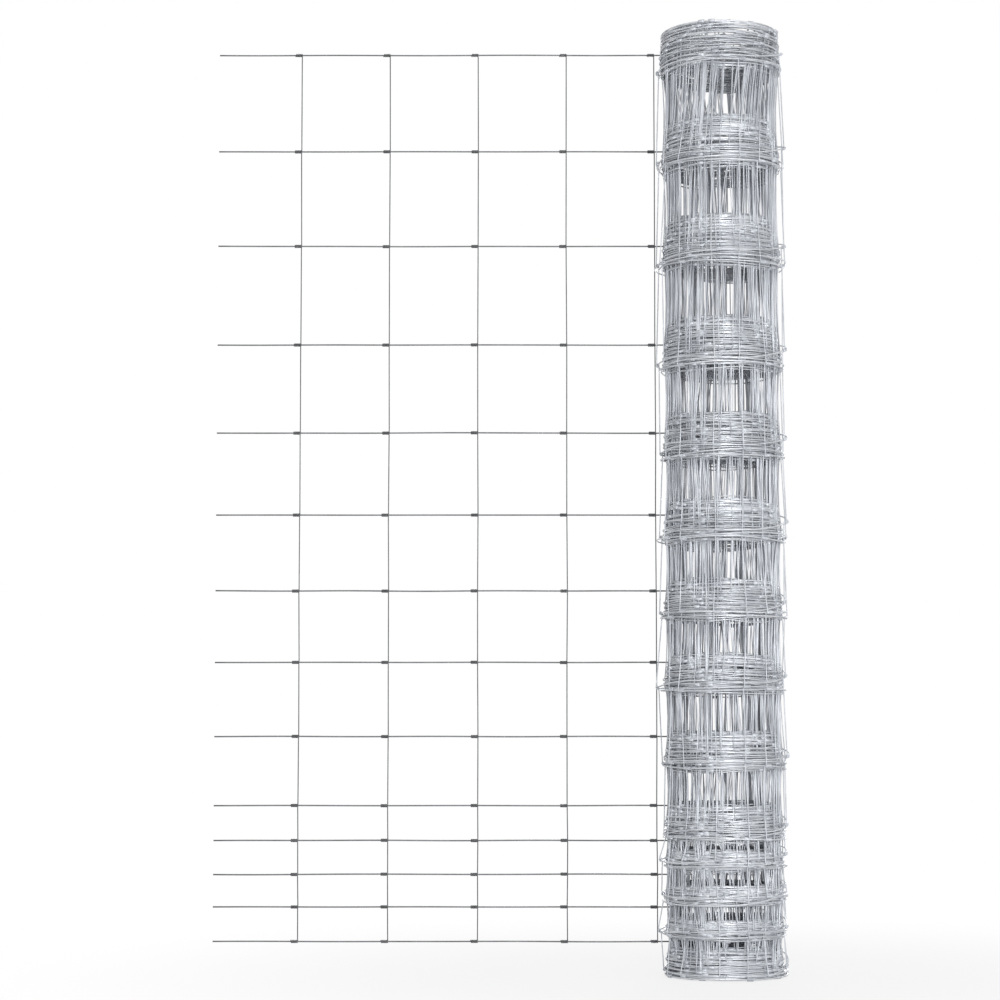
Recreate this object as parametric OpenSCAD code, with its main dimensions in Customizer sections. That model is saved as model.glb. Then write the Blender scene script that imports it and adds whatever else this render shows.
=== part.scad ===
// Roll of galvanised wire fencing, standing on its end with its free end pulled out flat.
// The fence is made of line wires that run along it and short stay wires between them.
// Each stay is hooked round the line wire at both its ends, which makes a hinged joint.

/* [Fence] */
// Gaps between the line wires, from the lowest up
line_gaps = [57, 54, 56, 58, 115, 124, 120, 128, 139, 150, 169, 163, 167];
// Diameter of a line wire
line_wire_d = 2.4; // [1.8:0.1:3]
// Diameter of a stay wire
stay_wire_d = 1.8; // [1.4:0.1:2.4]
// Distance from one stay to the next along the fence
stay_pitch = 150; // [125:5:200]

/* [Joints] */
// Wraps that one stay's end makes round the line wire
end_wraps = 3; // [2:1:4]
// Open space between the wraps of the upper stay and those of the lower one
end_gap = 0.6; // [0.3:0.1:1.5]
// How far the wraps reach past the far side of the stay
wrap_lip = 0.3; // [0.2:0.1:0.6]

/* [Roll] */
// Diameter of the bore
bore_d = 160; // [120:2:240]
// Thickness of the wound line wires, from the bore to the crests of the bands
winding_t = 20; // [16:0.5:60]
// Share of the wider gap beside it that a band spreads over
band_share = 0.45; // [0.35:0.01:0.5]
// Height of the bottom band
foot_band_h = 48; // [34:1:60]
// Height of the top band
head_band_h = 57; // [56:1:80]
// How much further in the top of a band lies than its bottom, on all but the top band
band_taper = 8; // [0:0.5:10]
// Distance between the ridges that the turns of a band are heaped in
ridge_pitch = 7; // [5:0.5:10]
// Depth of the grooves between the ridges
ridge_depth = 2; // [1:0.1:2.4]
// Depth of a waist, where only stays are wound, behind the edges of the bands beside it
waist_depth = 3; // [2.5:0.5:4]
// How much further the stays of a waist bow towards the bore
waist_bow = 3; // [1:0.5:3.5]
// Slack between one turn and the next on the ends
turn_slack = 0.25; // [0.15:0.05:0.6]

/* [Free end] */
// How far the line wires of the outer turn lie above the middle of their bands
outer_turn_lift = 22; // [8:1:26]
// Space between a joint of the outer turn and the crests of the top band under it
seat_gap = 0.2; // [0.1:0.05:0.4]
// Part of a full circle that the outer turn covers
outer_turn_angle = 345; // [300:1:345]
// Distance from the axis of the roll to the first stay of the flat stretch
first_stay_x = 103; // [95:1:105]
// Number of stays in the flat stretch
flat_stays = 5; // [2:1:8]
// Length of the cut line wires past the last stay
tail_l = 141; // [40:1:145]

/* [Hidden] */
zinc = "silver";
bright_zinc = "gainsboro";
wire_sides = 6;
ridge_steps = 4;
waist_steps = 4;

bore_r = bore_d / 2;
band_r = bore_r + winding_t;

// Heights of the band middles above the floor: the lowest stands in the foot band.
function sum_to(list, n) = n == 0 ? 0 : list[n - 1] + sum_to(list, n - 1);
last_line = len(line_gaps);
foot_z = foot_band_h / 2;
band_z = [for (i = [0:last_line]) foot_z + sum_to(line_gaps, i)];
roll_h = band_z[last_line] + head_band_h / 2;
line_z = [for (z = band_z) z + outer_turn_lift];

// Heights of the bands, and of their lower edges above the floor.
function middle_band_h(i) = band_share * max(line_gaps[i - 1], line_gaps[i]);
band_h = concat(foot_band_h, [for (i = [1 : last_line - 1]) middle_band_h(i)], head_band_h);
band_low = [for (i = [0:last_line]) band_z[i] - band_h[i] / 2];

// Turns that lie side by side on the ends, with a groove between each two.
end_w = winding_t - ridge_depth;
end_turns = floor(end_w / (line_wire_d + turn_slack));
turn_pitch = end_w / end_turns;
groove_depth = 0.4 * line_wire_d;

joint_d = line_wire_d + 2 * stay_wire_d;
wraps_l = end_wraps * stay_wire_d;
outer_r = band_r + seat_gap + joint_d / 2;
flat_l = first_stay_x + (flat_stays - 1) * stay_pitch + tail_l;

// Arc lengths, from where the fence leaves the roll, of the stays on the outer turn.
outer_turn_l = outer_turn_angle * PI / 180 * outer_r;
outer_stays = [for (s = [stay_pitch - first_stay_x : stay_pitch : outer_turn_l]) s * 180 / PI / outer_r];

// Section of a wire with flat sides, of the given diameter across them.
module wire_section(d) {
    circle(d = d / cos(180 / wire_sides), $fn = wire_sides);
}

module straight_wire(d, length) {
    linear_extrude(length) wire_section(d);
}

// Wraps of the upper and the lower stay round one line wire, which runs along X. The stay stands at x = 0.
module hinged_joint() {
    near_x = stay_wire_d / 2 + wrap_lip;
    for (x = [near_x - wraps_l, near_x - 2 * wraps_l - end_gap])
        translate([x, 0, 0]) rotate([0, 90, 0]) straight_wire(joint_d, wraps_l);
}

// One upright of stay wire from the lowest line wire to the highest, with a joint on each line wire.
module stay_with_joints() {
    translate([0, 0, line_z[0]]) straight_wire(stay_wire_d, line_z[last_line] - line_z[0]);
    for (z = line_z) translate([0, 0, z]) hinged_joint();
}

// The outer turns slip down the roll, so all the bands but the top one are widest at the bottom.
function taper(i) = i == last_line ? 0 : band_taper;

// Outline of a band from its lower edge up, with a round ridge for each heap of turns.
function ridges(i) = max(2, round(band_h[i] / ridge_pitch));
function band_points(i) = [
    for (s = [0 : ridge_steps * ridges(i)])
        let (t = s / ridge_steps, up = t / ridges(i))
            [band_r - taper(i) * up - ridge_depth * (1 - abs(sin(180 * t))), band_low[i] + band_h[i] * up]
];

// Outline of the waist over a band, from its lower end up. Its stays bow towards the bore.
function waist_r(i, up) = band_r - waist_depth - taper(i) * (1 - up) - 4 * waist_bow * up * (1 - up);
function waist_points(i) = [
    for (s = [0 : waist_steps])
        let (up = s / waist_steps, low = band_low[i] + band_h[i])
            [waist_r(i, up), low + (band_low[i + 1] - low) * up]
];

outside_points = [
    for (i = [0:last_line]) each concat(band_points(i), i < last_line ? waist_points(i) : [])
];

// Ends of the roll, with a groove between the edge wires of each two turns.
function foot_groove(r) = [[r - groove_depth, 0], [r, groove_depth], [r + groove_depth, 0]];
function head_groove(r) = [for (p = foot_groove(r)) [2 * r - p.x, roll_h - p.y]];
groove_rs = [for (k = [1 : end_turns - 1]) bore_r + turn_pitch * k];
foot_points = [for (r = groove_rs) each foot_groove(r)];
head_points = [for (k = [len(groove_rs) - 1 : -1 : 0]) each head_groove(groove_rs[k])];

module roll_section() {
    polygon(concat([[bore_r, 0]], foot_points, outside_points, head_points, [[bore_r, roll_h]]));
}

// All the wound turns but the outer one, as one turned body with its bore.
module wound_roll() {
    color(zinc) rotate_extrude($fn = 96) roll_section();
}

// The last turn of the fence round the roll, from where it leaves the roll backwards.
module outer_turn() {
    color(bright_zinc) union() {
        for (z = line_z)
            translate([0, 0, z]) rotate(90 - outer_turn_angle)
                rotate_extrude(angle = outer_turn_angle, $fn = 96)
                    translate([outer_r, 0]) rotate(90) wire_section(line_wire_d);
        for (a = outer_stays) rotate(-a) translate([0, outer_r, 0]) stay_with_joints();
    }
}

// The stretch of fence that is pulled out flat, at a tangent to the roll.
module free_end() {
    color(bright_zinc) translate([0, outer_r, 0]) {
        for (z = line_z) translate([-flat_l, 0, z]) rotate([0, 90, 0]) straight_wire(line_wire_d, flat_l);
        for (i = [0 : flat_stays - 1]) translate([-first_stay_x - i * stay_pitch, 0, 0]) stay_with_joints();
    }
}

wound_roll();
outer_turn();
free_end();
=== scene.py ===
import math

import bpy
import numpy as np
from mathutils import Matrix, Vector


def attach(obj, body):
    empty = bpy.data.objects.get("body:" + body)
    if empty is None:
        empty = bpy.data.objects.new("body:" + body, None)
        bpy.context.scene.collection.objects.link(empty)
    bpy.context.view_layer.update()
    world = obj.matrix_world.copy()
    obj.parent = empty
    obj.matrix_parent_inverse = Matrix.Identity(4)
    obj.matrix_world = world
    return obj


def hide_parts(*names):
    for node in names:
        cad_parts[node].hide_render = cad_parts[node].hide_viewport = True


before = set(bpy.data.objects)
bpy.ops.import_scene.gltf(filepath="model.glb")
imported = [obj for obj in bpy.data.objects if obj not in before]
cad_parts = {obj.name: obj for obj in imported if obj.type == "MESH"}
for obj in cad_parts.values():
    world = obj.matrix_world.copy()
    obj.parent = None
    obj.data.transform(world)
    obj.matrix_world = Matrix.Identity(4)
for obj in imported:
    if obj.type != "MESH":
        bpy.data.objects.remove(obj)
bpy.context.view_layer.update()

# Line wires.
# Fourteen galvanised steel wires run the whole length of the fence, closer together near the ground. All
# but the flat stretch is wound into the roll, where the turns of each lie in a band, heaped in ridges.
MM = 0.001
LINE_R = 1.2 * MM
STAY_R = 0.9 * MM
LINE_GAPS = np.array([57, 54, 56, 58, 115, 124, 120, 128, 139, 150, 169, 163, 167]) * MM
FOOT_BAND_H = 48 * MM
HEAD_BAND_H = 57 * MM
FLOOR_GAP = 0.2 * MM
LIFT = 22 * MM
FLAT_L = 844 * MM
JOINT_R = LINE_R + 2 * STAY_R
FOOT_CLEAR = JOINT_R + FLOOR_GAP
BAND_Z = FOOT_BAND_H / 2 + np.concatenate([[0.0], np.cumsum(LINE_GAPS)])
ROLL_H = BAND_Z[-1] + HEAD_BAND_H / 2
LINES = len(BAND_Z)


def for_lines(value, head_value):
    """One value for every line wire but the top one, which has its own."""
    return np.append(np.full(LINES - 1, value), head_value)


# Half the height that the turns of each wire spread over, and the ridges that they lie on. Towards the
# bore they spread further.
BAND_SHARE = 0.42
INNER_SPREAD = 1.3
HEAD_SLIP = 11 * MM
RIDGE_PITCH = 6.5 * MM
HEAD_RIDGE_PITCH = 5.2 * MM
wider_gap = np.maximum(LINE_GAPS[1:], LINE_GAPS[:-1])
band_half = np.concatenate([
    [FOOT_BAND_H / 2 - FOOT_CLEAR],
    BAND_SHARE * wider_gap / 2 - LINE_R,
    [(HEAD_BAND_H + HEAD_SLIP) / 2 - LINE_R],
])
band_mid = BAND_Z - for_lines(0.0, HEAD_SLIP / 2)
last_ridge = np.round(2 * band_half / for_lines(RIDGE_PITCH, HEAD_RIDGE_PITCH)).astype(int)
ridge_step = 2 * band_half / last_ridge

# On the way back through its band a wire lies between the ridges, by this share of a step.
RETURN_SHIFT = 0.5
HEAD_RETURN_SHIFT = 0.3
return_shift = for_lines(RETURN_SHIFT, HEAD_RETURN_SHIFT)

# The outer turns slip down, so all the bands but the top one are widest at the bottom.
BAND_TAPER = 8 * MM
taper = for_lines(BAND_TAPER, 0.0)

# Radius, in millimetres, at some of the turns. The outer turns are loose and the others are tight.
TURNS = 87
DETAILED_TURNS = 3
LOOSE_TURNS = [0.0, 0.12, 0.3, 0.5, 0.75, 1.0, 1.3, 1.6, 2.0, 2.5, DETAILED_TURNS, TURNS]
LOOSE_RS = [103.2, 103.2, 103.6, 103.6, 103.4, 103.0, 102.8, 102.6, 102.0, 101.2, 98.8, 82.8]
FIRST_WOUND_R = LOOSE_RS[-2] * MM
LAST_WOUND_R = LOOSE_RS[-1] * MM
SMOOTHED_TURNS = 0.12
SMOOTHING_STEPS = 7

# How the wires wander up and down and in and out, and settle into their bands. Spans are in turns.
SEED = 1875
WAVES = 9
WAVE_RATES = 0.35, 3.2
UP_WANDER = 1.8 * MM
OUT_WANDER = 0.5 * MM
LOOSE_WANDER = 4.0
LOOSE_REACH = 2.2 * MM
WANDERING_SPAN = 0.3
TIGHTENING_SPAN = 1.5
SETTLING_FROM = 0.0, 0.1
SETTLING_SPAN = 0.38

# A wire steps from one ridge to the next in this share of a turn, sooner or later by a slow wave.
STEP_SHARE = 0.22
STEP_DRIFT = 0.15
STEP_DRIFT_RATE = 2.3
STEP_DRIFT_PHASE = 6

# In the flat stretch the wires sway a little, and less where they leave the roll.
FLAT_SWAY = 0.35 * MM
FLAT_SWAY_RATE = 9
FLAT_SWAY_FROM = 200 * MM

rng = np.random.default_rng(SEED)


def random_waves():
    """Rates and starts of the waves along each line wire."""
    return rng.uniform(*WAVE_RATES, (LINES, WAVES)), rng.uniform(0, 2 * np.pi, (LINES, WAVES))


up_waves = random_waves()
out_waves = random_waves()
step_at = rng.uniform(0, 1, LINES)
settle_at = rng.uniform(*SETTLING_FROM, LINES)
looser = rng.uniform(-LOOSE_REACH, LOOSE_REACH, LINES)


def ease(x):
    """0 up to x = 0, 1 from x = 1, and a smooth way between them."""
    x = np.clip(x, 0.0, 1.0)
    return x * x * (3 - 2 * x)


def wander(waves, line, turn):
    """A slow irregular wave along a line wire, mostly between -1 and 1."""
    rate, start = waves
    angle = 2 * np.pi * turn[..., None] * rate[line] + start[line]
    return np.sin(angle).sum(-1) / math.sqrt(WAVES / 2)


def wound_radius(turn):
    """Radius at a turn, smoothed between the ones listed."""
    shifts = np.linspace(-SMOOTHED_TURNS, SMOOTHED_TURNS, SMOOTHING_STEPS)
    reach = sum(np.interp(np.abs(turn + shift), LOOSE_TURNS, LOOSE_RS) for shift in shifts)
    return MM * reach / SMOOTHING_STEPS


def wound_depth(turn):
    """Share of the winding's thickness that lies inside a turn."""
    return np.clip((wound_radius(turn) - LAST_WOUND_R) / (FIRST_WOUND_R - LAST_WOUND_R), 0.0, 1.0)


def ridge_height(line, turn):
    """Height of a turn in its band. A wire lies on one ridge for most of a turn, then steps to the next.

    It starts at the bottom. On its way back it lies between the ridges of its way out.
    """
    half_way = last_ridge[line] + return_shift[line]
    drift = STEP_DRIFT * np.sin(STEP_DRIFT_RATE * turn + STEP_DRIFT_PHASE * step_at[line])
    slow = turn - step_at[line] + drift
    whole = np.floor(slow)
    ridge = half_way - 1 + whole + ease((slow - whole - 1 + STEP_SHARE) / STEP_SHARE)
    return ridge_step[line] * (np.abs(ridge % (2 * half_way) - half_way) - half_way / 2)


def line_path(line, turn):
    """Points on a line wire, counting turns from where the fence leaves the roll."""
    angle = 2 * np.pi * turn
    settled = ease((turn - settle_at[line]) / SETTLING_SPAN)
    loose = ease((DETAILED_TURNS - turn) / TIGHTENING_SPAN)
    waves = (1 + LOOSE_WANDER * loose) * OUT_WANDER * wander(out_waves, line, turn)
    reach = wound_radius(turn) + ease(turn / WANDERING_SPAN) * (waves + loose * looser[line])
    depth = wound_depth(turn)
    spread = INNER_SPREAD + (1 - INNER_SPREAD) * depth
    shift = spread * ridge_height(line, turn) + UP_WANDER * wander(up_waves, line, turn)
    up = np.clip((shift / band_half[line] + 1) / 2, 0.0, 1.0)
    reach = reach - settled * taper[line] * up * depth
    lifted = BAND_Z[line] + LIFT
    height = lifted + (band_mid[line] + shift - lifted) * settled
    height = np.clip(height, FOOT_CLEAR, ROLL_H - LINE_R)
    return np.stack([reach * np.sin(angle), reach * np.cos(angle), height], -1)


def flat_path(line, x):
    """Points on a line wire in the flat stretch."""
    rate, start = up_waves
    waves = np.sin(x[..., None] * rate[line] * FLAT_SWAY_RATE + start[line]).sum(-1) / math.sqrt(WAVES)
    height = BAND_Z[line] + LIFT + ease(-x / FLAT_SWAY_FROM) * FLAT_SWAY * waves
    return np.stack([x, wound_radius(0.0) + 0 * x, height], -1)


# The coat of the wires. Molten zinc froze on them into small crystals, and dulls to a chalky grey where
# the weather has been at it. Each kind has a bright and a dull tone.
NEW_ZINC = (0.75, 0.77, 0.80, 1.0), (0.49, 0.507, 0.54, 1.0)
# Painted shade: darker tones for the inner turns near the bore, where the roll lies in shade.
BORE_SHADE_ZINC = (0.43, 0.45, 0.49, 1.0), (0.32, 0.335, 0.365, 1.0)
# Painted shade: darker tones for the line wires of the flat stretch, away from the roll.
FLAT_SHADE_ZINC = (0.2, 0.206, 0.218, 1.0), (0.13, 0.135, 0.143, 1.0)

# Crystals, dulled clouds and streaks: their scales, and their shares in the tone, roughness and bump.
CRYSTAL_SCALE = 260.0
CLOUD_SCALE = 24.0
CLOUD_DETAIL = 3.0
STREAK_SCALE = 90.0
STREAK_DETAIL = 2.0
FACET_SPAN = 0.15, 0.75
DULL_SPAN = 0.35, 0.72
FACET_TONE = 0.2
DULL_TONE = 0.62
STREAK_TONE = 0.18
DULL_ROUGHNESS = 0.16
STREAK_ROUGHNESS = 0.08
STREAK_BUMP = 0.6
BUMP_STRENGTH = 0.3
BUMP_HEIGHT = 0.00004

# Where the tones go over into painted shade: in x along the flat stretch, and in radius near the bore.
FLAT_SHADE_FADE = -0.10, 0.01
BORE_SHADE_FADE = 0.081, 0.089

# What a place is multiplied by to leave out its height.
LEVEL = (1.0, 1.0, 0.0)


class Shade:
    """A socket of a material, on which Python's operators add the nodes that work them out."""

    def __init__(self, tree, socket):
        self.tree = tree
        self.socket = socket

    def node(self, kind, settings, **sockets):
        """Adds a node, sets it up, feeds its named sockets and returns its first output."""
        made = self.tree.nodes.new(kind)
        for name, value in settings.items():
            setattr(made, name, value)
        for name, value in sockets.items():
            place = int(name[1:]) if name[0] == "_" else name.replace("_", " ")
            if isinstance(value, Shade):
                self.tree.links.new(value.socket, made.inputs[place])
            else:
                made.inputs[place].default_value = value
        return Shade(self.tree, next(s for s in made.outputs if s.enabled))

    def math(self, operation, a, b):
        return self.node("ShaderNodeMath", {"operation": operation}, _0=a, _1=b)

    def __add__(self, other):
        return self.math("ADD", self, other)

    def __mul__(self, other):
        return self.math("MULTIPLY", self, other)

    __radd__ = __add__
    __rmul__ = __mul__

    def between(self, low, high):
        """This value, with low to high spread over 0 to 1 and cut off past them."""
        settings = {"interpolation_type": "SMOOTHSTEP"}
        return self.node("ShaderNodeMapRange", settings, Value=self, From_Min=low, From_Max=high)

    def blend(self, first, second):
        """A colour from first to second as this value goes from 0 to 1."""
        settings = {"data_type": "RGBA"}
        return self.node("ShaderNodeMix", settings, _0=self, _6=first, _7=second)


def blank_tree(owner):
    """The node tree of a material or a world, emptied."""
    owner.use_nodes = True
    owner.node_tree.nodes.clear()
    return owner.node_tree


def show(shader, output):
    """Links a shader to a new output of its tree."""
    out = shader.tree.nodes.new(output)
    shader.tree.links.new(shader.socket, out.inputs["Surface"])


def zinc_coat(name, tones, metal, shine, far_shade_tones=None):
    """Galvanised finish between a bright and a dull tone of zinc, with its roughness from shine up.

    Away from the roll the tones go over into the given far tones, a painted shade. Without these they
    darken towards the bore, also a painted shade.
    """
    material = bpy.data.materials.new(name)
    tree = blank_tree(material)
    place = Shade(tree, tree.nodes.new("ShaderNodeTexCoord").outputs["Object"])
    noise = "ShaderNodeTexNoise"
    crystals = place.node("ShaderNodeTexVoronoi", {"feature": "F1"}, Vector=place, Scale=CRYSTAL_SCALE)
    clouds = place.node(noise, {}, Vector=place, Scale=CLOUD_SCALE, Detail=CLOUD_DETAIL)
    streaks = place.node(noise, {}, Vector=place, Scale=STREAK_SCALE, Detail=STREAK_DETAIL)
    dulled = clouds.between(*DULL_SPAN)
    facets = crystals.between(*FACET_SPAN)
    mix = DULL_TONE * dulled + FACET_TONE * facets + STREAK_TONE * streaks
    colour = mix.blend(*tones)
    if far_shade_tones:
        # Painted shade: the tones darken along x away from the roll.
        x = place.node("ShaderNodeSeparateXYZ", {}, Vector=place)
        colour = x.between(*FLAT_SHADE_FADE).blend(mix.blend(*far_shade_tones), colour)
    else:
        # Painted shade: the tones darken in radius towards the bore.
        level = place.node("ShaderNodeVectorMath", {"operation": "MULTIPLY"}, _0=place, _1=LEVEL)
        reach = place.node("ShaderNodeVectorMath", {"operation": "LENGTH"}, _0=level)
        colour = reach.between(*BORE_SHADE_FADE).blend(mix.blend(*BORE_SHADE_ZINC), colour)
    rough = shine + DULL_ROUGHNESS * dulled + STREAK_ROUGHNESS * streaks
    relief = facets + STREAK_BUMP * streaks
    bump = place.node("ShaderNodeBump", {}, Strength=BUMP_STRENGTH, Distance=BUMP_HEIGHT, Height=relief)
    shader = place.node(
        "ShaderNodeBsdfPrincipled",
        {},
        Base_Color=colour,
        Metallic=metal,
        Roughness=rough,
        Normal=bump,
    )
    show(shader, "ShaderNodeOutputMaterial")
    return material


wound_zinc = zinc_coat("wound_zinc", NEW_ZINC, metal=0.65, shine=0.38)
line_zinc = zinc_coat("line_zinc", NEW_ZINC, metal=0.5, shine=0.44, far_shade_tones=FLAT_SHADE_ZINC)

# A wire that starts out steeper than this is swept from a side that isn't upright.
STEEP = 0.7

# Margins in each cell of a mesh's map, as shares of the cell.
U_MARGIN = 0.04
V_MARGIN = 0.08


def round_wires(paths, radius, sides):
    """Rings of points round each path, an array of wires by points by 3, that don't twist along it."""
    along = np.gradient(paths, axis=1)
    along /= np.linalg.norm(along, axis=2, keepdims=True)
    side = np.empty_like(paths)
    across = np.where(np.abs(along[:, 0, 2:]) < STEEP, [[0.0, 0.0, 1.0]], [[1.0, 0.0, 0.0]])
    for k in range(paths.shape[1]):
        across = across - (across * along[:, k]).sum(1, keepdims=True) * along[:, k]
        across = across / np.linalg.norm(across, axis=1, keepdims=True)
        side[:, k] = across
    third = np.cross(along, side)
    turn = 2 * np.pi * np.arange(sides) / sides
    ring = np.cos(turn)[:, None] * side[:, :, None] + np.sin(turn)[:, None] * third[:, :, None]
    girth = np.broadcast_to(radius, paths.shape[1])[:, None, None]
    return paths[:, :, None] + girth * ring


class WireMesh:
    """Tubes swept along many paths and joined in one mesh, with a map of their length and girth."""

    def __init__(self):
        self.points = []
        self.corners = []
        self.starts = []
        self.maps = []
        self.point_count = 0
        self.corner_count = 0
        self.cell_count = 0

    def sweep(self, paths, radius, sides, cell_steps):
        """Adds a closed tube along each path, with cell_steps of its steps in a cell of the map."""
        wires, steps, _ = paths.shape
        self.points.append(round_wires(paths, radius, sides).reshape(-1, 3))
        index = self.point_count + np.arange(wires * steps * sides).reshape(wires, steps, sides)
        self.point_count += index.size
        after = np.roll(index, -1, axis=2)
        walls = np.stack([index[:, :-1], after[:, :-1], after[:, 1:], index[:, 1:]], -1)
        step = np.arange(steps - 1)
        cells = math.ceil((steps - 1) / cell_steps)
        cell = self.cell_count + np.arange(wires)[:, None] * cells + step // cell_steps
        self.cell_count += wires * cells
        u = ((step % cell_steps)[:, None, None] + np.array([0, 0, 1, 1])) / cell_steps
        v = (np.arange(sides)[:, None] + np.array([0, 1, 1, 0])) / sides
        self.add_faces(walls, cell[:, :, None, None], u, v)
        turn = 2 * np.pi * np.arange(sides) / sides
        cap_u = (1 + np.cos(turn)) / 4 / cell_steps
        cap_v = (1 + np.sin(turn)) / 2
        self.add_faces(index[:, 0, ::-1], cell[:, :1], cap_u, cap_v)
        self.add_faces(index[:, -1], cell[:, -1:], 1 - cap_u, cap_v)

    def add_faces(self, corners, *spread):
        """Adds faces, each a row of corners, with the cells of the map and the places in them."""
        self.corners.append(corners.reshape(-1))
        self.starts.append(self.corner_count + np.arange(0, corners.size, corners.shape[-1]))
        self.corner_count += corners.size
        self.maps.append(np.stack([np.broadcast_to(part, corners.shape).reshape(-1) for part in spread]))

    def piece(self, name, material, columns):
        """Makes the object, which stays at the origin. Each cell of its map has its own place there."""
        mesh = bpy.data.meshes.new(name)
        points = np.concatenate(self.points)
        starts = np.concatenate(self.starts)
        mesh.vertices.add(len(points))
        mesh.vertices.foreach_set("co", points.astype(np.float32).ravel())
        mesh.loops.add(self.corner_count)
        mesh.loops.foreach_set("vertex_index", np.concatenate(self.corners).astype(np.int32))
        mesh.polygons.add(len(starts))
        mesh.polygons.foreach_set("loop_start", starts.astype(np.int32))
        mesh.update(calc_edges=True)
        mesh.polygons.foreach_set("use_smooth", np.ones(len(starts), dtype=bool))
        cell, u, v = np.concatenate(self.maps, axis=1)
        rows = math.ceil(self.cell_count / columns)
        u = (cell % columns + U_MARGIN + (1 - 2 * U_MARGIN) * u) / columns
        v = (cell // columns + V_MARGIN + (1 - 2 * V_MARGIN) * v) / rows
        layer = mesh.uv_layers.new(name="OFBake")
        layer.uv.foreach_set("vector", np.stack([u, v], -1).astype(np.float32).ravel())
        mesh.materials.append(material)
        made = bpy.data.objects.new(name, mesh)
        bpy.context.collection.objects.link(made)
        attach(made, "root")
        return made


# The line wires of the flat stretch and of the turns that show most.
FLAT_STEPS = 40
TURN_STEPS = 64
LINE_SIDES = 8
every_line = np.arange(LINES)[:, None]
flat_x = np.linspace(-FLAT_L, 0.0, FLAT_STEPS + 1)[None, :-1].repeat(LINES, 0)
fine_turn = np.linspace(0.0, DETAILED_TURNS, DETAILED_TURNS * TURN_STEPS + 1)[None].repeat(LINES, 0)
free_run = [flat_path(every_line, flat_x), line_path(every_line, fine_turn[:, :2])]
wires = WireMesh()
wires.sweep(np.concatenate(free_run, 1), LINE_R, LINE_SIDES, FLAT_STEPS + 1)
free_lines = wires.piece("free_end_line_wires", line_zinc, columns=1)

wires = WireMesh()
wires.sweep(line_path(every_line, fine_turn[:, 1:]), LINE_R, LINE_SIDES, TURN_STEPS)
outer_lines = wires.piece("outer_line_wires", wound_zinc, columns=1)

# The line wires of the other turns, in groups of bands from the lowest up.
INNER_TURN_STEPS = 36
INNER_LINE_SIDES = 4
BAND_GROUPS = {"lower": range(0, 5), "middle": range(5, 10), "upper": range(10, 14)}
inner_turn = np.linspace(DETAILED_TURNS, TURNS, (TURNS - DETAILED_TURNS) * INNER_TURN_STEPS + 1)
for group, lines in BAND_GROUPS.items():
    turns = inner_turn[None].repeat(len(lines), 0)
    wires = WireMesh()
    wires.sweep(line_path(np.array(lines)[:, None], turns), LINE_R, INNER_LINE_SIDES, INNER_TURN_STEPS)
    wires.piece(f"wound_line_wires_{group}", wound_zinc, columns=1)

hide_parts("free_end")
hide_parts("outer_turn")
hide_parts("wound_roll")

# Stay wires.
# Each is a short wire from one line wire to the next, every 150 mm along the fence. Its ends are wrapped
# round the line wires, so that the joint can hinge. In the roll the stays bow inwards and lie in bundles.
STAY_PITCH = 150 * MM
FIRST_STAY_X = 103 * MM
FLAT_STAYS = 5
END_WRAPS = 3
END_GAP = 0.6 * MM
GAPS = LINES - 1
DULL_ZINC = (0.66, 0.685, 0.725, 1.0), (0.465, 0.485, 0.52, 1.0)
# Painted shade: darker tones for the stays of the flat stretch, darker than the line wires' to offset the
# lamps' highlights on them.
FLAT_STAY_SHADE_ZINC = (0.15, 0.155, 0.163, 1.0), (0.095, 0.099, 0.105, 1.0)
wound_stay_zinc = zinc_coat("wound_stay_zinc", DULL_ZINC, metal=0.5, shine=0.44)
joint_zinc = zinc_coat("joint_zinc", DULL_ZINC, metal=0.4, shine=0.55)
stay_zinc = zinc_coat("stay_zinc", NEW_ZINC, metal=0.5, shine=0.44, far_shade_tones=FLAT_STAY_SHADE_ZINC)

# Where along the fence each wound stay is, in turns, from the length that the turns take up.
MEASURED_STEPS = 50
LAST_STAY_GAP = 10 * MM
some_turns = np.linspace(0.0, TURNS, TURNS * MEASURED_STEPS + 1)
lengths = 2 * np.pi * wound_radius(some_turns)
paid_out = np.concatenate([[0.0], np.cumsum((lengths[1:] + lengths[:-1]) / 2 * np.diff(some_turns))])
stay_s = np.arange(STAY_PITCH - FIRST_STAY_X, paid_out[-1] - LAST_STAY_GAP, STAY_PITCH)
stay_turn = np.interp(stay_s, paid_out, some_turns)
stay_r = wound_radius(stay_turn)
stays = len(stay_s)

# The bundle that each stay has settled into, and how far each joint has slid along its line wire.
BUNDLES = 84
BUNDLED_SHARE = 0.3, 0.75
BUNDLE_SHIFT = 0.2
BUNDLED_FROM = 1.0
BUNDLING_SPAN = 2.0
BUNDLE_SLIDE = 4.5 * MM
BUNDLE_CARRIED = 0.6
OWN_SLIDE = 1.9 * MM
OWN_CARRIED = 0.5
OUTER_SLIDE = 1.5
HEAD_TWIST = 14 * MM
bundle = np.round(stay_turn * BUNDLES).astype(int) % BUNDLES
bundle_turn = (np.arange(BUNDLES) + rng.uniform(-BUNDLE_SHIFT, BUNDLE_SHIFT, BUNDLES)) / BUNDLES
to_bundle = (bundle_turn[bundle] - stay_turn + 0.5) % 1 - 0.5
bundled = np.interp(stay_turn, [0.0, TURNS], BUNDLED_SHARE[::-1])
to_bundle = to_bundle * (rng.uniform(size=stays) < bundled)
pressed = ease((stay_turn - BUNDLED_FROM) / BUNDLING_SPAN)
slide = pressed[:, None] * to_bundle[:, None] * 2 * np.pi * stay_r[:, None] * np.ones(LINES)
bundle_slide = np.zeros((BUNDLES, LINES))
own_slide = np.zeros((stays, LINES))
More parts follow.
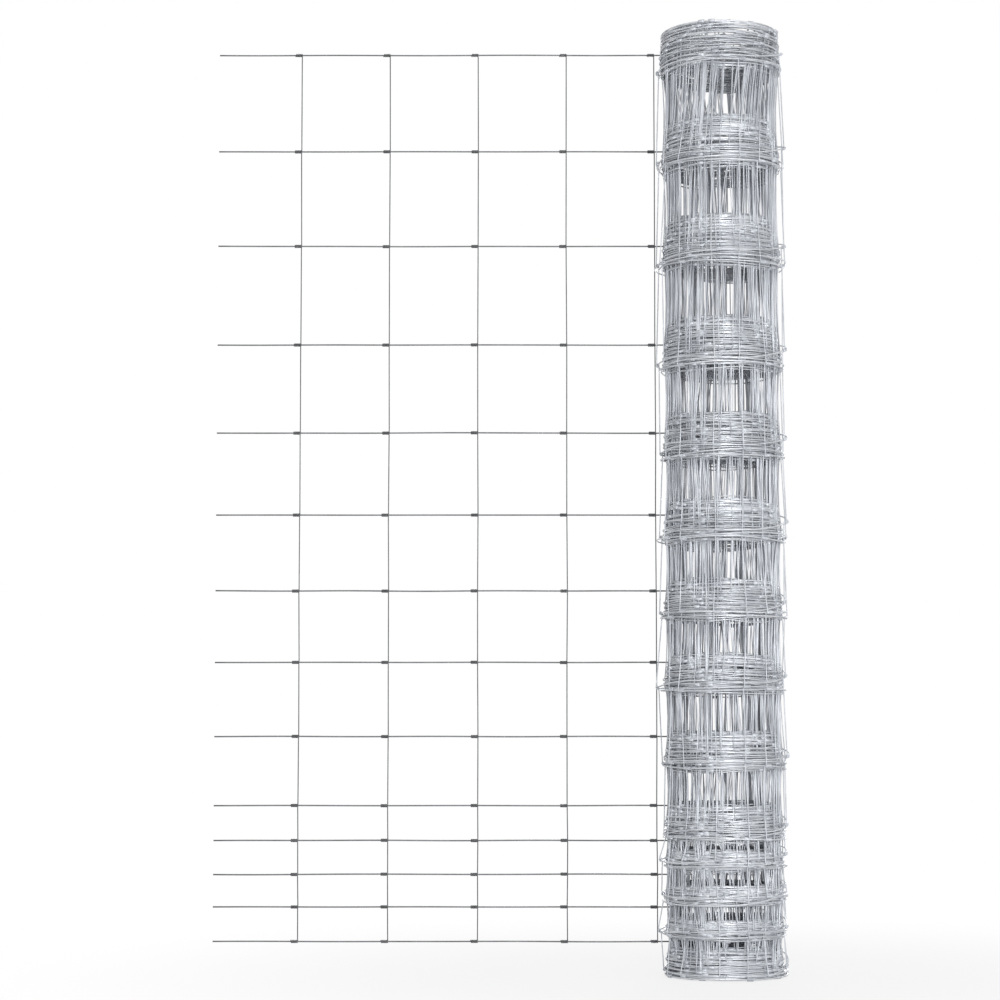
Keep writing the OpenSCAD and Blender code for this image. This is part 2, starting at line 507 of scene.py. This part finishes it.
for line in range(LINES):
    bundle_slide[:, line] = rng.normal(scale=BUNDLE_SLIDE, size=BUNDLES)
    own_slide[:, line] = rng.normal(scale=OWN_SLIDE, size=stays)
    if line:
        bundle_slide[:, line] += BUNDLE_CARRIED * bundle_slide[:, line - 1]
        own_slide[:, line] += OWN_CARRIED * own_slide[:, line - 1]
own_slide[stay_turn < DETAILED_TURNS] *= OUTER_SLIDE
slide += pressed[:, None] * bundle_slide[bundle] + own_slide
slide[:, -1] -= pressed * HEAD_TWIST

# The joints of each stay on the line wires, and the way that the line wire runs there.
NEAR_TURN = 0.002
each_line = np.arange(LINES)[None].repeat(stays, 0)
joint_turn = stay_turn[:, None] + slide / (2 * np.pi * stay_r[:, None])
joints = line_path(each_line, joint_turn)
line_way = line_path(each_line, joint_turn + NEAR_TURN) - joints
line_way /= np.linalg.norm(line_way, axis=2, keepdims=True)

# Inward bow of the stay in each gap: none on the outer turns, least at the bore and in narrow gaps.
WAIST_DEPTH = 4 * MM
FULL_BOW_GAP = 120 * MM
LEAST_BOW = 0.55
BOWED_FROM = 1.5
BOWING_SPAN = 1.5
BUNDLE_BOW = 0.75, 1.15
OWN_BOW = 0.85, 1.1
BUNDLE_SWAY = 1.4 * MM
OWN_SWAY = 0.6 * MM
depth = wound_depth(stay_turn)[:, None]
wound = ease((stay_turn - BOWED_FROM) / BOWING_SPAN)[:, None]
bow = WAIST_DEPTH * depth * np.clip(LINE_GAPS / FULL_BOW_GAP, LEAST_BOW, 1.0) * wound
bow = bow * rng.uniform(*BUNDLE_BOW, (BUNDLES, GAPS))[bundle] * rng.uniform(*OWN_BOW, (stays, GAPS))
sway = rng.normal(scale=BUNDLE_SWAY, size=(BUNDLES, GAPS))[bundle] * wound
sway = sway + rng.normal(scale=OWN_SWAY, size=(stays, GAPS)) * pressed[:, None]


def bowed(low, high, bow, sway, share):
    """Points along stays between joints, at shares of their length."""
    share = share[..., None]
    straight = low[..., None, :] * (1 - share) + high[..., None, :] * share
    out = straight * LEVEL
    out = out / np.linalg.norm(out, axis=-1, keepdims=True)
    across = np.stack([out[..., 1], -out[..., 0], 0 * out[..., 0]], -1)
    belly = 4 * share * (1 - share)
    return straight - bow[..., None, None] * belly * out + sway[..., None, None] * belly * across


# The stays inside the roll, in two groups of gaps.
STAY_STEPS = 4
INNER_STAY_SIDES = 5
GAP_GROUPS = {"lower": slice(0, 6), "upper": slice(6, 13)}
inner = stay_turn >= DETAILED_TURNS
shares = np.linspace(0, 1, STAY_STEPS + 1)
inner_stays = bowed(joints[inner, :-1], joints[inner, 1:], bow[inner], sway[inner], shares)
for group, gaps in GAP_GROUPS.items():
    wires = WireMesh()
    paths = inner_stays[:, gaps].reshape(-1, STAY_STEPS + 1, 3)
    wires.sweep(paths, STAY_R, INNER_STAY_SIDES, STAY_STEPS)
    wires.piece(f"wound_stays_{group}", wound_stay_zinc, columns=12)

# The wraps at each joint inside the roll, the upper stay's and the lower stay's in one sleeve.
SLEEVE_BEVEL = 0.7 * MM
SLEEVE_INSET = 0.3 * MM
SLEEVE_SIDES = 5
JOINT_GROUPS = {"lower": slice(0, 7), "upper": slice(7, 14)}
wraps_l = END_WRAPS * 2 * STAY_R
sleeve_l = 2 * wraps_l + END_GAP
sleeve_x = STAY_R - np.array([0.0, SLEEVE_BEVEL, sleeve_l - SLEEVE_BEVEL, sleeve_l])
sleeve_r = np.array([LINE_R, JOINT_R - SLEEVE_INSET, JOINT_R - SLEEVE_INSET, LINE_R])
for group, lines in JOINT_GROUPS.items():
    middles = joints[inner][:, lines].reshape(-1, 1, 3)
    ways = line_way[inner][:, lines].reshape(-1, 1, 3)
    wires = WireMesh()
    wires.sweep(middles + ways * sleeve_x[:, None], sleeve_r, SLEEVE_SIDES, len(sleeve_x) - 1)
    wires.piece(f"wound_joints_{group}", joint_zinc, columns=24)

# Stays of the flat stretch and of the turns that show most, with their wraps wound as they are. From one
# wrap to the other they cross over from the outside of the lower line wire to the inside of the upper.
WRAP_STEPS = 9
WRAP_R = LINE_R + STAY_R
EDGE_WRAPS = END_WRAPS + 2
HOOKED_SIDES = 6
FROM_LOW = np.array([2.5, 7.0]) * MM
MID_SHARES = np.array([0.3, 0.5, 0.7])
FROM_HIGH = np.array([7.0, 2.5]) * MM
LEAN = np.array([1.0, 0.95, 0.4, 0.0, -0.4, -0.95, -1.0])
UP = np.array([0.0, 0.0, 1.0])


def wrap_path(joint, way, out, wraps, side):
    """Turns of wire round a line wire, away from a stay that passes it on the given side, 1 or -1."""
    turn = np.linspace(0, wraps, wraps * WRAP_STEPS + 1)[:, None]
    angle = 2 * np.pi * turn
    turned = side * WRAP_R * (out[:, None] * np.cos(angle) - UP * np.sin(angle))
    return joint[:, None] - way[:, None] * sleeve_l / wraps * turn + turned


def hooked_stays(low, high, low_way, high_way, bow, sway, low_wraps, high_wraps):
    """Stays from the end of the lower wraps to the end of the upper wraps."""
    outs = [np.stack([-way[:, 1], way[:, 0], 0 * way[:, 0]], -1) for way in (low_way, high_way)]
    low_out, high_out = [out / np.linalg.norm(out, axis=1, keepdims=True) for out in outs]
    lower = wrap_path(low, low_way, low_out, low_wraps, 1)[:, ::-1]
    upper = wrap_path(high, high_way, high_out, high_wraps, -1)
    length = np.linalg.norm(high - low, axis=1)[:, None]
    share = np.concatenate([FROM_LOW / length, MID_SHARES + 0 * length, 1 - FROM_HIGH / length], 1)
    middle = bowed(low, high, bow, sway, share) + WRAP_R * LEAN[:, None] * high_out[:, None]
    return np.concatenate([lower, middle, upper], 1)


def add_hooked_stays(wires, joints, ways, bow, sway):
    """Adds the stays of every gap, with more wraps on the lowest and the highest line wire."""
    for gaps, low_wraps, high_wraps in (
        (slice(0, 1), EDGE_WRAPS, END_WRAPS),
        (slice(1, GAPS - 1), END_WRAPS, END_WRAPS),
        (slice(GAPS - 1, GAPS), END_WRAPS, EDGE_WRAPS),
    ):
        above = slice(gaps.start + 1, gaps.stop + 1)
        ends = [part[:, lines].reshape(-1, 3) for part in (joints, ways) for lines in (gaps, above)]
        bends = [part[:, gaps].reshape(-1) for part in (bow, sway)]
        paths = hooked_stays(*ends, *bends, low_wraps, high_wraps)
        wires.sweep(paths, STAY_R, HOOKED_SIDES, paths.shape[1] - 1)


wires = WireMesh()
add_hooked_stays(wires, joints[~inner], line_way[~inner], bow[~inner], sway[~inner])
wires.piece("outer_stays", joint_zinc, columns=4)

FLAT_STAY_SHIFT = 0.3 * MM
flat_stay_x = -FIRST_STAY_X - STAY_PITCH * np.arange(FLAT_STAYS)[:, None].repeat(LINES, 1)
flat_stay_x = flat_stay_x + rng.normal(scale=FLAT_STAY_SHIFT, size=flat_stay_x.shape)
flat_joints = flat_path(np.arange(LINES)[None].repeat(FLAT_STAYS, 0), flat_stay_x)
flat_way = np.zeros_like(flat_joints)
flat_way[..., 0] = 1.0
still = np.zeros((FLAT_STAYS, GAPS))
wires = WireMesh()
add_hooked_stays(wires, flat_joints, flat_way, still, still)
wires.piece("free_end_stays", stay_zinc, columns=4)

# Studio.
# A pale floor under the roll, which fades into a white room, and three soft lamps.
FLOOR_SIZE = 60.0
FLOOR_COLOUR = (0.86, 0.86, 0.86, 1.0)
FLOOR_GLOW = 0.78
FLOOR_FADE = 0.25, 1.3
WHITE = (1.0, 1.0, 1.0, 1.0)
bpy.ops.object.select_all(action="DESELECT")
bpy.ops.mesh.primitive_plane_add(size=FLOOR_SIZE)
floor = bpy.context.object
floor.name = "studio_floor"
floor_paint = bpy.data.materials.new("studio_floor")
floor_tree = blank_tree(floor_paint)
camera_ray = Shade(floor_tree, floor_tree.nodes.new("ShaderNodeLightPath").outputs["Is Camera Ray"])
spot = Shade(floor_tree, floor_tree.nodes.new("ShaderNodeTexCoord").outputs["Object"])
away = spot.node("ShaderNodeVectorMath", {"operation": "LENGTH"}, _0=spot)
paint = spot.node("ShaderNodeBsdfDiffuse", {}, Color=FLOOR_COLOUR)
glow = spot.node("ShaderNodeEmission", {}, Color=WHITE, Strength=1.0)
faded = FLOOR_GLOW + (1 - FLOOR_GLOW) * away.between(*FLOOR_FADE)
surface = spot.node("ShaderNodeMixShader", {}, _0=camera_ray * faded, _1=paint, _2=glow)
show(surface, "ShaderNodeOutputMaterial")
floor.data.materials.append(floor_paint)

# The room is white wherever it is seen, and lights the wires with less than that.
ROOM_LIGHT = 0.5
world = bpy.data.worlds.new("white_room")
bpy.context.scene.world = world
world_tree = blank_tree(world)
rays = world_tree.nodes.new("ShaderNodeLightPath").outputs
direct, glossy, through = [
    Shade(world_tree, rays[f"Is {kind} Ray"]) for kind in ("Camera", "Glossy", "Transmission")
]
shown = direct.math("MAXIMUM", direct, glossy.math("MAXIMUM", glossy, through))
strength = ROOM_LIGHT + (1 - ROOM_LIGHT) * shown
show(shown.node("ShaderNodeBackground", {}, Color=WHITE, Strength=strength), "ShaderNodeOutputWorld")


def soft_lamp(name, place, aim, size, power):
    """A round soft lamp that points at a place."""
    lamp = bpy.data.lights.new(name, "AREA")
    lamp.shape = "DISK"
    lamp.size = size
    lamp.energy = power
    made = bpy.data.objects.new(name, lamp)
    bpy.context.collection.objects.link(made)
    made.location = place
    made.rotation_euler = (Vector(aim) - Vector(place)).to_track_quat("-Z", "Y").to_euler()


soft_lamp("key_lamp", place=(0.2, -4.2, 0.6), aim=(0.0, 0.0, 0.45), size=1.6, power=113.0)
soft_lamp("fill_lamp", place=(2.2, -3.0, 0.4), aim=(0.0, 0.0, 0.1), size=1.6, power=28.0)
soft_lamp("back_lamp", place=(0.6, 4.2, 1.4), aim=(0.0, 0.0, 0.6), size=2.0, power=95.0)

# Camera.
# Far off and low, tilted up a little, with the lens raised to take in the top of the roll.
TILT_DEGREES = 4.256
camera = bpy.data.cameras.new("camera")
camera.lens = 90.05
camera.sensor_width = 36.0
camera.shift_y = 0.03
camera.clip_end = 200.0
viewer = bpy.data.objects.new("camera", camera)
bpy.context.collection.objects.link(viewer)
viewer.location = (-0.3656, -4.1, 0.42)
viewer.rotation_euler = (math.radians(90 + TILT_DEGREES), 0.0, 0.0)
bpy.context.scene.camera = viewer
bpy.context.scene.view_settings.view_transform = "Standard"
